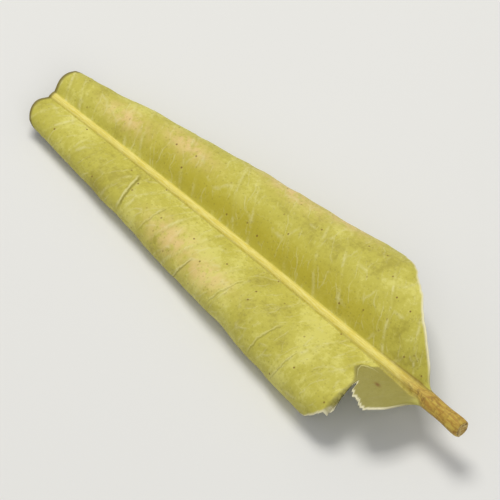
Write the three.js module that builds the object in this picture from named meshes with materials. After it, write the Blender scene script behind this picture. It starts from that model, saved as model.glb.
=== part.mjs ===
// Dried kaffir lime leaf lying underside up: a blunt blade rolled into a trough, its midrib and its stalk stub.
// Millimetres. +X runs along the midrib to the stalk stub, +Z up, the floor is z = 0.
import * as THREE from "three";

const BLADE_LENGTH = 56;
const STUB_LENGTH = 4.8;
const STUB_RADIUS = 0.9;
const BLADE_THICKNESS = 0.32;
const MARGIN_THICKNESS = 0.2;
const VALLEY_ROLL = 25;
const VALLEY_ROUNDING = 0.7;
const APEX_NOTCH = 0.85;
const SECTION_STEPS = 28;
const MIDRIB_HEIGHT = { base: 4.35, slope: -2.2, sag: -0.6 };
const MIDRIB_BEND = { slope: 2.6, sag: -1.0 };
const REST_ROLL = -3.7;
const REST_PITCH = 0.9;

// The half that arches high and stands on its own margin (+Y side).
const HIGH_HALF = {
  sign: 1,
  width: 20.0,
  apexWidth: 0.4,
  shoulder: 0.43,
  fullness: 1.3,
  apexRound: 5.5,
  rise: 64.5,
  riseGain: 0,
  turn: 155,
  turnGain: 0,
  scale: 18.4,
  apexScale: 0.31,
  tightening: 1.23,
};

// The half that runs out nearly level and then rolls under itself (-Y side).
const ROLLED_HALF = {
  sign: -1,
  width: 16.2,
  apexWidth: 0.34,
  shoulder: 0.38,
  fullness: 2.7,
  apexRound: 5.3,
  rise: 14.7,
  riseGain: 2,
  turn: 212,
  turnGain: 18,
  scale: 15.4,
  apexScale: 0.36,
  tightening: 2.4,
};

// The ragged split in the rolled half's base margin, and the flap it frees beside the stalk.
// Each tear corner is a station and the share of the half-width lost there.
const TEAR_CORNERS = [
  [0.035, 0],
  [0.06, 0.08],
  [0.073, 0.22],
  [0.08, 0.3],
  [0.098, 0.4],
  [0.109, 0.56],
  [0.113, 0.2],
  [0.13, 0.1],
  [0.165, 0],
];
const TEAR_LIP = { from: 3.8, reach: 5, lean: 0.014, fade: 0.06, at: 0.111 };
const FLAP = { hinge: 3.2, drop: 0.8, from: 0.02, full: 0.08, end: 0.109 };

const rad = THREE.MathUtils.degToRad;
const clamp01 = (t) => Math.min(Math.max(t, 0), 1);
const smooth = (t) => clamp01(t) ** 2 * (3 - 2 * clamp01(t));

// Share of the blade's half-width that the tear takes away at station q.
function tearCut(half, q) {
  if (half.sign > 0) {
    return 0;
  }
  const next = TEAR_CORNERS.findIndex(([station]) => station > q);
  if (next < 1) {
    return 0;
  }
  const [start, before] = TEAR_CORNERS[next - 1];
  const [end, after] = TEAR_CORNERS[next];
  return before + ((after - before) * (q - start)) / (end - start);
}

// Flattened half-width at station q: 0 at the stalk, 1 at the apex.
function halfWidth(half, q) {
  const side = half.width * (1 - (1 - half.apexWidth) * q);
  const swell = 1 - clamp01((half.shoulder - q) / half.shoulder) ** half.fullness;
  const crenation = 0.012 * Math.sin(96 * q + half.sign) + 0.008 * Math.sin(41 * q);
  const whole = STUB_RADIUS + (side - STUB_RADIUS) * swell;
  return whole * (1 + crenation * smooth(q / 0.1)) * (1 - tearCut(half, q));
}

// How far a point drops back from the blade's end because the apex is rounded and notched.
function apexOffset(half, q, share) {
  const corner = half.apexRound * (1 - Math.sqrt(1 - Math.min(share, 1) ** 2));
  const lobe = APEX_NOTCH * (1 - Math.exp(-((share / 0.22) ** 2)));
  return smooth((q - 0.55) / 0.45) * (corner - lobe);
}

// How far the torn lip on the apex side of the split leans over towards the stalk.
function lipLean(half, q, a) {
  if (half.sign > 0 || q < TEAR_LIP.at) {
    return 0;
  }
  const fade = 1 - smooth((q - TEAR_LIP.at) / TEAR_LIP.fade);
  return TEAR_LIP.lean * fade * smooth((a - TEAR_LIP.from) / TEAR_LIP.reach);
}

// Slope of the cross-section at distance a from the midrib, in radians above the horizontal.
function sectionAngle(half, q, a) {
  const scale = half.scale * (1 - (1 - half.apexScale) * q);
  const rise = half.rise + half.riseGain * q;
  const turn = (half.turn + half.turnGain * q) * (a / scale) ** half.tightening;
  const flat = half.sign * VALLEY_ROLL;
  return rad(rise - turn + (flat - rise) * Math.exp(-((a / VALLEY_ROUNDING) ** 2)));
}

// Gentle cockling of the dried blade, growing away from the midrib.
function cockle(half, q, a) {
  const wave = Math.sin(9.5 * q + 1.3 * half.sign) + 0.6 * Math.sin(23 * q + 2.1 * half.sign);
  return 0.16 * wave * smooth(a / 9);
}

// How far the flap beside the tear hangs below the rest of the blade.
function flapDrop(half, q, a) {
  if (half.sign > 0 || q > FLAP.end) {
    return 0;
  }
  const reach = clamp01((a - FLAP.hinge) / 5) ** 2;
  return FLAP.drop * reach * smooth((q - FLAP.from) / (FLAP.full - FLAP.from));
}

// Middle surface of the blade at station q and signed distance u from the midrib.
function bladePoint(q, u) {
  const half = u < 0 ? ROLLED_HALF : HIGH_HALF;
  const a = Math.abs(u);
  const step = a / SECTION_STEPS;
  let across = 0;
  let up = 0;
  for (let i = 0; i < SECTION_STEPS; i += 1) {
    const angle = sectionAngle(half, q, (i + 0.5) * step);
    across += Math.cos(angle) * step;
    up += Math.sin(angle) * step;
  }
  const midribY = MIDRIB_BEND.slope * q + MIDRIB_BEND.sag * q * q;
  const midribZ = MIDRIB_HEIGHT.base + MIDRIB_HEIGHT.slope * q + MIDRIB_HEIGHT.sag * q * q;
  const z = midribZ + up + cockle(half, q, a) - flapDrop(half, q, a);
  return new THREE.Vector3(BLADE_LENGTH * (0.5 - q), midribY + half.sign * across, z);
}

// Unit normal of the middle surface on the side that faces up at the midrib.
function bladeNormal(q, u) {
  const along = bladePoint(q - 0.002, u).sub(bladePoint(q + 0.002, u));
  const across = bladePoint(q, u + 0.02).sub(bladePoint(q, u - 0.02));
  return along.cross(across).normalize();
}

// Midrib half-breadth and its height proud of the blade's underside.
function midribSize(q) {
  const breadth = 0.4 + 0.12 * (1 - q) + 0.43 * Math.exp(-q / 0.09);
  const height = 0.22 + 0.15 * (1 - q) + 0.45 * Math.exp(-q / 0.1);
  return { breadth, height };
}

// Signed distances from the midrib of one ring's columns, rolled margin to high margin.
function columns(q) {
  const rib = midribSize(q);
  const ribShares = [1.25, 1, 0.85, 0.6, 0.3];
  const bladeShares = [1, 0.97, 0.9, 0.81, 0.71, 0.61, 0.51, 0.41, 0.31, 0.21, 0.12, 0.05];
  const side = (half) => {
    const width = halfWidth(half, q);
    const foot = Math.min(1.25 * rib.breadth, 0.8 * width);
    const outer = bladeShares.map((s) => foot + (width - foot) * s);
    const inner = ribShares.map((s) => (foot * s) / 1.25);
    return outer.concat(inner).map((a) => ({ u: half.sign * a, share: a / width }));
  };
  return [...side(ROLLED_HALF), { u: 0, share: 0 }, ...side(HIGH_HALF).reverse()];
}

// One point of the blade's skin: face +1 is the underside (facing up), -1 the upper side.
function skinPoint(q, column, face) {
  const half = column.u < 0 ? ROLLED_HALF : HIGH_HALF;
  const lean = lipLean(half, q, Math.abs(column.u));
  const station = q - lean - apexOffset(half, q, column.share) / BLADE_LENGTH;
  const rib = midribSize(q);
  const ridge = Math.sqrt(Math.max(0, 1 - (column.u / rib.breadth) ** 2));
  const thinning = (BLADE_THICKNESS - MARGIN_THICKNESS) * smooth((column.share - 0.8) / 0.2);
  const proud = face > 0 ? rib.height * ridge : 0.35 * (rib.height - 0.22) * ridge;
  const offset = (BLADE_THICKNESS - thinning) / 2 + proud;
  return bladePoint(station, column.u).addScaledVector(bladeNormal(station, column.u), face * offset);
}

// One point of the round stalk that the same column turns into.
function stalkPoint(q, column, face, radius) {
  const centre = bladePoint(q, 0);
  const normal = bladeNormal(q, 0);
  const side = new THREE.Vector3(0, Math.cos(rad(VALLEY_ROLL)), Math.sin(rad(VALLEY_ROLL)));
  const angle = rad(86) * Math.sign(column.u) * column.share;
  centre.addScaledVector(side, radius * Math.sin(angle));
  return centre.addScaledVector(normal, face * radius * Math.cos(angle));
}

// A closed ring round the leaf at station q; it becomes the round stalk as q falls to 0.
function ring(q, radius) {
  const round = smooth((0.035 - q) / 0.035);
  const place = (column, face) => {
    const stalk = stalkPoint(q, column, face, radius);
    return q > 0 ? skinPoint(q, column, face).lerp(stalk, round) : stalk;
  };
  const list = columns(Math.max(q, 0));
  const under = list.map((column) => place(column, 1));
  const upper = list.map((column) => place(column, -1)).reverse();
  return under.concat(upper);
}

// Stations along the blade, closer together at both ends and round the tear.
function bladeStations() {
  const steps = 44;
  const even = Array.from({ length: steps + 1 }, (_, i) => 0.5 - 0.5 * Math.cos((Math.PI * i) / steps));
  const tear = TEAR_CORNERS.map(([station]) => station).concat([0.086, 0.092, 0.104]);
  const clear = (q) => tear.every((t) => Math.abs(q - t) > 0.003);
  const inside = even.filter((q) => q > 0.002 && clear(q));
  return inside.concat(tear).sort((a, b) => a - b);
}

// Rings of the stalk stub, from its broken end to the blade.
function stalkRings() {
  const profile = [
    [STUB_LENGTH, 0.86],
    [STUB_LENGTH - 0.15, 1.02],
    [STUB_LENGTH - 1.6, 1.04],
    [STUB_LENGTH - 3.2, 0.96],
    [STUB_LENGTH - 4.9, 0.98],
    [0, 1.0],
  ];
  return profile.map(([out, swell]) => ring(-out / BLADE_LENGTH, STUB_RADIUS * swell));
}

// Joins neighbouring rings with triangles and closes both ends.
function sweep(rings) {
  const size = rings[0].length;
  const points = rings.flat();
  const index = [];
  for (let i = 0; i + 1 < rings.length; i += 1) {
    for (let j = 0; j < size; j += 1) {
      const a = i * size + j;
      const b = i * size + ((j + 1) % size);
      index.push(a, b, a + size, b, b + size, a + size);
    }
  }
  closeEnds(rings, points, index);
  const geometry = new THREE.BufferGeometry().setFromPoints(points);
  geometry.setIndex(index);
  return geometry;
}

// The stalk end is a fan round its centre; the apex end zips the two faces of the blade together.
function closeEnds(rings, points, index) {
  const size = rings[0].length;
  const centre = rings[0].reduce((sum, p) => sum.add(p), new THREE.Vector3()).divideScalar(size);
  points.push(centre);
  for (let j = 0; j < size; j += 1) {
    index.push(points.length - 1, (j + 1) % size, j);
  }
  const last = (rings.length - 1) * size;
  for (let j = 0; j + 1 < size / 2; j += 1) {
    const a = last + j;
    const b = last + j + 1;
    const c = last + size - 1 - j;
    index.push(a, b, c, b, c - 1, c);
  }
}

// Turns the leaf into its resting attitude and centres it on the floor.
function settle(geometry) {
  geometry.rotateX(rad(REST_ROLL));
  geometry.rotateY(rad(REST_PITCH));
  geometry.computeBoundingBox();
  const box = geometry.boundingBox;
  geometry.translate(-(box.min.x + box.max.x) / 2, -(box.min.y + box.max.y) / 2, -box.min.z);
  geometry.computeVertexNormals();
  return geometry;
}

function leaf() {
  const blade = bladeStations().map((q) => ring(q, STUB_RADIUS));
  const geometry = settle(sweep([...stalkRings(), ...blade]));
  const material = new THREE.MeshStandardMaterial({ color: 0xc2b85c, roughness: 0.78, metalness: 0 });
  const mesh = new THREE.Mesh(geometry, material);
  mesh.name = "leaf";
  return mesh;
}

const group = new THREE.Group();
group.name = "dried_kaffir_lime_leaf";
group.add(leaf());
export default group;
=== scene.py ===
"""A dried kaffir lime leaf lying underside up on a pale table.

The leaf is one grown piece: a blunt blade curled into a trough along its raised
midrib, with a short woody stalk stub and a ragged split in its base margin. All
shape sizes are in millimetres and are turned into metres when a mesh is made.
"""

from __future__ import annotations

import logging
import math
from dataclasses import dataclass, field
from enum import Enum

import bpy
import numpy as np
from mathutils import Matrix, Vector


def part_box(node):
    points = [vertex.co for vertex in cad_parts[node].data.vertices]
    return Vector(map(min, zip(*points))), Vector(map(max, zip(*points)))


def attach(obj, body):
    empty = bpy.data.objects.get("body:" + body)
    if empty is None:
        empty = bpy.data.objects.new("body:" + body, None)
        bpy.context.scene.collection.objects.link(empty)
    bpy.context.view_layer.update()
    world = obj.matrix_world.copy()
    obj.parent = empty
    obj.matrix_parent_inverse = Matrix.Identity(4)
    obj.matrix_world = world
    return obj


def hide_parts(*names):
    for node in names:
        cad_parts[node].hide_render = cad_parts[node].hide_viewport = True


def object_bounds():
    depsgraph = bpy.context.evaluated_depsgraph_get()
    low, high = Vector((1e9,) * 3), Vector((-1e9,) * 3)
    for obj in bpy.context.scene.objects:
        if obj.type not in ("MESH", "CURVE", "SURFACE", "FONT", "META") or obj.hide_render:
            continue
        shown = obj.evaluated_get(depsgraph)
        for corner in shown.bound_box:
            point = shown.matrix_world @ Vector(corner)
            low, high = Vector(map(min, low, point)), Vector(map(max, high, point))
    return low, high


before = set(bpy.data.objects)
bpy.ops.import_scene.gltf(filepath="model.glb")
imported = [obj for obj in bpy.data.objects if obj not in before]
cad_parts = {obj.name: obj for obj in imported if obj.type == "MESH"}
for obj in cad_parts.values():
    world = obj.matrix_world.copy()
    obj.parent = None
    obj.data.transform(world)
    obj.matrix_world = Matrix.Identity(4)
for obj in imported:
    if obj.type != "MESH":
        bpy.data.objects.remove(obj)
CAD_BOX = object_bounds()
MM = 0.001
FLAT_SPAN = 80.0
FLAT_START = (0.1, 0.5)
log = logging.getLogger("kaffir_lime_leaf")


def smooth(t: np.ndarray) -> np.ndarray:
    """Ease from 0 to 1: three t squared minus two t cubed, with t held between 0 and 1.

    Args:
        t: Values to ease.

    Returns:
        The eased values.
    """
    held = np.clip(t, 0.0, 1.0)
    return held * held * (3.0 - 2.0 * held)


def linear(code: str) -> tuple[float, float, float, float]:
    """Turn a web colour such as "#c8c062" into linear light.

    Args:
        code: The colour as a hash and six hexadecimal digits.

    Returns:
        Red, green, blue and an alpha of 1.
    """
    parts = [int(code[i : i + 2], 16) / 255.0 for i in (1, 3, 5)]
    light = [c / 12.92 if c <= 0.04045 else ((c + 0.055) / 1.055) ** 2.4 for c in parts]
    return (light[0], light[1], light[2], 1.0)


class Face(Enum):
    """The two faces of the blade; the underside is the one that faces up."""

    UNDERSIDE = 1.0
    UPPER = -1.0


@dataclass(frozen=True)
class HalfShape:
    """Sizes of one half of the blade, seen outwards from the midrib.

    Widths are in millimetres along the blade, angles in degrees. `rise` is the slope at
    the midrib, `turn` the whole angle the section curls through at the distance `scale`.
    """

    sign: float
    width: float
    apex_width: float
    shoulder: float
    fullness: float
    apex_round: float
    rise: float
    rise_gain: float
    turn: float
    turn_gain: float
    scale: float
    apex_scale: float
    tightening: float


HIGH_HALF = HalfShape(1.0, 20.0, 0.40, 0.43, 1.3, 5.5, 64.5, 0.0, 155.0, 0.0, 18.4, 0.31, 1.23)
ROLLED_HALF = HalfShape(-1.0, 16.2, 0.34, 0.38, 2.7, 5.3, 14.7, 2.0, 212.0, 18.0, 15.4, 0.36, 2.4)


@dataclass(frozen=True)
class TearShape:
    """The ragged split in the rolled half's base margin and the flap that it frees.

    `stations` and `losses` are the corners of the split: places along the blade and the
    share of the half-width gone there. `jag` is the height of the fibres left along it.
    """

    stations: tuple[float, ...] = (0.035, 0.06, 0.073, 0.08, 0.098, 0.109, 0.113, 0.13, 0.165)
    losses: tuple[float, ...] = (0.0, 0.08, 0.22, 0.30, 0.40, 0.56, 0.20, 0.10, 0.0)
    jag: float = 0.16
    lip_from: float = 3.8
    lip_reach: float = 5.0
    lip_lean: float = 0.014
    lip_fade: float = 0.06
    lip_at: float = 0.111
    flap_hinge: float = 3.2
    flap_drop: float = 0.8
    flap_from: float = 0.02
    flap_full: float = 0.08
    flap_end: float = 0.109


@dataclass(frozen=True)
class VeinShape:
    """Side veins: where they leave the midrib, how steeply, and how far they stand proud."""

    first: float = 3.4
    spacing: float = 4.3
    count: int = 13
    high_angle: float = 62.0
    rolled_angle: float = 74.0
    breadth: float = 0.16
    proud: float = 0.055
    seed: int = 11


@dataclass
class LeafSurface:
    """The curled middle surface of the blade, as a function of station and distance.

    A station q runs from 0 at the stalk to 1 at the apex. A distance u is measured along
    the blade from the midrib, below 0 on the rolled half and above 0 on the high half.
    """

    length: float = 56.0
    stub_radius: float = 0.9
    thickness: float = 0.32
    valley_roll: float = 25.0
    valley_rounding: float = 0.7
    apex_notch: float = 0.85
    steps: int = 28
    midrib_height: tuple[float, float, float] = (4.35, -2.2, -0.6)
    midrib_bend: tuple[float, float] = (2.6, -1.0)
    high: HalfShape = HIGH_HALF
    rolled: HalfShape = ROLLED_HALF
    tear: TearShape = field(default_factory=TearShape)

    def tear_loss(self, q: np.ndarray) -> np.ndarray:
        """Share of the rolled half's width lost at the split, linear between its corners.

        Args:
            q: Stations.

        Returns:
            Shares from 0 to 1.
        """
        return np.interp(q, self.tear.stations, self.tear.losses, left=0.0, right=0.0)

    def half_width(self, half: HalfShape, q: np.ndarray) -> np.ndarray:
        """Flattened half-width: straight sides that taper to the apex, swelling from the stalk.

        The side is width times one minus (1 - apex_width) q. The swell is one minus
        ((shoulder - q) / shoulder) to the power fullness. Sines crenate the margin.

        Args:
            half: The half of the blade.
            q: Stations.

        Returns:
            Half-widths in millimetres.
        """
        side = half.width * (1.0 - (1.0 - half.apex_width) * q)
        swell = 1.0 - np.clip((half.shoulder - q) / half.shoulder, 0.0, 1.0) ** half.fullness
        wave = 0.012 * np.sin(96.0 * q + half.sign) + 0.008 * np.sin(41.0 * q)
        fine = 0.004 * np.sin(233.0 * q + 2.0 * half.sign) + 0.003 * np.sin(377.0 * q)
        whole = self.stub_radius + (side - self.stub_radius) * swell
        width = whole * (1.0 + (wave + fine) * smooth(q / 0.1))
        if half.sign > 0:
            return width
        loss = self.tear_loss(q)
        fibre = self.tear.jag * (np.sin(1900.0 * q) + 0.6 * np.sin(3370.0 * q + 1.0))
        return width * (1.0 - loss) + fibre * np.clip(loss * 4.0, 0.0, 1.0)

    def apex_offset(self, half: HalfShape, q: np.ndarray, share: np.ndarray) -> np.ndarray:
        """How far the blade's end drops back: a quarter ellipse for the corner, less the lobe.

        Args:
            half: The half of the blade.
            q: Stations.
            share: Distance from the midrib over the half-width.

        Returns:
            Offsets towards the stalk in millimetres.
        """
        corner = half.apex_round * (1.0 - np.sqrt(1.0 - np.minimum(share, 1.0) ** 2))
        lobe = self.apex_notch * (1.0 - np.exp(-((share / 0.22) ** 2)))
        return smooth((q - 0.55) / 0.45) * (corner - lobe)

    def lip_lean(self, half: HalfShape, q: np.ndarray, a: np.ndarray) -> np.ndarray:
        """How far the torn lip beside the split leans back over it, as a change of station.

        Args:
            half: The half of the blade.
            q: Stations.
            a: Distances from the midrib in millimetres.

        Returns:
            Changes of station.
        """
        if half.sign > 0:
            return np.zeros_like(a)
        fade = 1.0 - smooth((q - self.tear.lip_at) / self.tear.lip_fade)
        reach = smooth((a - self.tear.lip_from) / self.tear.lip_reach)
        return np.where(q < self.tear.lip_at, 0.0, self.tear.lip_lean * fade * reach)

    def section_angle(self, half: HalfShape, q: np.ndarray, a: np.ndarray) -> np.ndarray:
        """Slope of the cross-section, in radians above the horizontal, going outwards.

        The slope starts level with the rolled midrib, springs up to `rise` within the valley
        rounding, then falls by `turn` times (a / scale) to the power `tightening`.

        Args:
            half: The half of the blade.
            q: Stations.
            a: Distances from the midrib in millimetres.

        Returns:
            The slopes.
        """
        scale = half.scale * (1.0 - (1.0 - half.apex_scale) * q)
        rise = half.rise + half.rise_gain * q
        turn = (half.turn + half.turn_gain * q) * (a / scale) ** half.tightening
        flat = half.sign * self.valley_roll
        return np.radians(rise - turn + (flat - rise) * np.exp(-((a / self.valley_rounding) ** 2)))

    def cockle(self, half: HalfShape, q: np.ndarray, a: np.ndarray) -> np.ndarray:
        """Slow waves along the dried blade, growing away from the midrib, in millimetres.

        Args:
            half: The half of the blade.
            q: Stations.
            a: Distances from the midrib in millimetres.

        Returns:
            Heights in millimetres.
        """
        phase = half.sign
        wave = np.sin(9.5 * q + 1.3 * phase) + 0.6 * np.sin(23.0 * q + 2.1 * phase)
        return 0.16 * wave * smooth(a / 9.0)

    def flap_drop(self, half: HalfShape, q: np.ndarray, a: np.ndarray) -> np.ndarray:
        """How far the flap beside the split hangs below the blade, in millimetres.

        Args:
            half: The half of the blade.
            q: Stations.
            a: Distances from the midrib in millimetres.

        Returns:
            Drops in millimetres.
        """
        if half.sign > 0:
            return np.zeros_like(a)
        tear = self.tear
        reach = np.clip((a - tear.flap_hinge) / 5.0, 0.0, 1.0) ** 2
        run = smooth((q - tear.flap_from) / (tear.flap_full - tear.flap_from))
        return np.where(q > tear.flap_end, 0.0, tear.flap_drop * reach * run)

    def half_point(self, half: HalfShape, q: np.ndarray, a: np.ndarray) -> np.ndarray:
        """Points of one half: the section's slope summed outwards from the midrib.

        Args:
            half: The half of the blade.
            q: Stations.
            a: Distances from the midrib, not negative.

        Returns:
            Points in millimetres, one row of x, y, z for each input.
        """
        middle = (np.arange(self.steps) + 0.5) / self.steps
        slope = self.section_angle(half, q[..., None], a[..., None] * middle)
        across = np.cos(slope).mean(axis=-1) * a
        up = np.sin(slope).mean(axis=-1) * a
        base, fall, sag = self.midrib_height
        y = self.midrib_bend[0] * q + self.midrib_bend[1] * q * q + half.sign * across
        z = base + fall * q + sag * q * q + up
        z = z + self.cockle(half, q, a) - self.flap_drop(half, q, a)
        return np.stack([self.length * (0.5 - q), y, z], axis=-1)

    def point(self, q: np.ndarray, u: np.ndarray) -> np.ndarray:
        """Points of the middle surface, each half worked out and the right one taken.

        Args:
            q: Stations.
            u: Signed distances from the midrib in millimetres.

        Returns:
            Points in millimetres.
        """
        high = self.half_point(self.high, q, np.abs(u))
        rolled = self.half_point(self.rolled, q, np.abs(u))
        return np.where((u < 0.0)[..., None], rolled, high)

    def normal(self, q: np.ndarray, u: np.ndarray) -> np.ndarray:
        """Unit normals on the underside: the cross product of two central differences.

        Args:
            q: Stations.
            u: Signed distances from the midrib in millimetres.

        Returns:
            Unit vectors.
        """
        along = self.point(q - 0.002, u) - self.point(q + 0.002, u)
        across = self.point(q, u + 0.02) - self.point(q, u - 0.02)
        normal = np.cross(along, across)
        return normal / np.linalg.norm(normal, axis=-1, keepdims=True)


@dataclass
class VeinPattern:
    """Side veins and puckers of the blade, worked out on the flattened leaf."""

    shape: VeinShape = field(default_factory=VeinShape)

    def lateral(self, x: np.ndarray, u: np.ndarray) -> np.ndarray:
        """Mask of the side veins.

        Each vein is a curve that leaves the midrib at its angle and bends on towards the
        apex by a hundredth of the distance squared. Its mask is a bell over the offset from
        that curve, fading towards the margin.

        Args:
            x: Distances along the midrib from the stalk, in millimetres.
            u: Signed distances from the midrib, in millimetres.

        Returns:
            Values from 0 between veins to 1 on a vein.
        """
        rng = np.random.default_rng(self.shape.seed)
        a = np.abs(u)
        mask = np.zeros_like(x)
        sides = ((1.0, self.shape.high_angle), (-1.0, self.shape.rolled_angle))
        for sign, angle in sides:
            lean = 1.0 / math.tan(math.radians(angle))
            on_side = (np.sign(u) == sign).astype(float)
            for i in range(self.shape.count):
                start = self.shape.first + self.shape.spacing * (i + 0.35 * rng.uniform(-1.0, 1.0))
                strength = rng.uniform(0.45, 1.0)
                wobble = 0.22 * np.sin(a / rng.uniform(1.1, 1.9) + rng.uniform(0.0, 6.3))
                curve = start + lean * a + 0.011 * a * a + wobble * smooth(a / 3.0)
                offset = (x - curve) * math.sin(math.radians(angle))
                bell = np.exp(-((offset / self.shape.breadth) ** 2))
                fade = 1.0 - 0.75 * smooth((a - 5.0) / 8.0)
                mask = np.maximum(mask, on_side * strength * fade * bell)
        return mask

    def pucker(self, x: np.ndarray, u: np.ndarray) -> np.ndarray:
        """Small shallow puckers: sixteen plane waves of 2.2 to 8 mm, added together.

        Args:
            x: Distances along the midrib in millimetres.
            u: Signed distances from the midrib in millimetres.

        Returns:
            Offsets along the normal in millimetres.
        """
        rng = np.random.default_rng(self.shape.seed + 1)
        total = np.zeros_like(x)
        for _ in range(16):
            wave = rng.uniform(2.2, 8.0)
            heading = rng.uniform(0.0, math.pi)
            phase = rng.uniform(0.0, 2.0 * math.pi)
            step = (x * math.cos(heading) + u * math.sin(heading)) * 2.0 * math.pi / wave
            total += wave * np.sin(step + phase)
        return 0.0028 * total


@dataclass(frozen=True)
class OvalPatch:
    """One oval patch: its middle and reach on the flattened leaf, in millimetres."""

    x: float
    u: float
    reach_x: float
    reach_u: float

    def mask(self, x: np.ndarray, u: np.ndarray) -> np.ndarray:
        """A bell over the distance from the patch's middle, counted in reaches.

        Args:
            x: Distances along the midrib in millimetres.
            u: Signed distances from the midrib in millimetres.

        Returns:
            Values from 0 to 1.
        """
        away = ((x - self.x) / self.reach_x) ** 2 + ((u - self.u) / self.reach_u) ** 2
        return np.exp(-away)


# Crest patches: a bleached tone plus a painted highlight where the curled blade faces the light.
BLEACH_AND_HIGHLIGHT_PATCHES = (
    OvalPatch(32.6, -4.6, 3.4, 1.5),
    OvalPatch(26.8, -5.4, 3.0, 1.3),
    OvalPatch(47.0, 2.9, 3.0, 1.0),
    OvalPatch(39.3, 4.6, 3.4, 1.1),
    OvalPatch(27.4, 8.2, 4.2, 1.3),
    OvalPatch(21.6, 10.0, 4.6, 1.3),
)
FLAP_SPOT = OvalPatch(4.5, -2.75, 0.34, 0.2)


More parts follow.
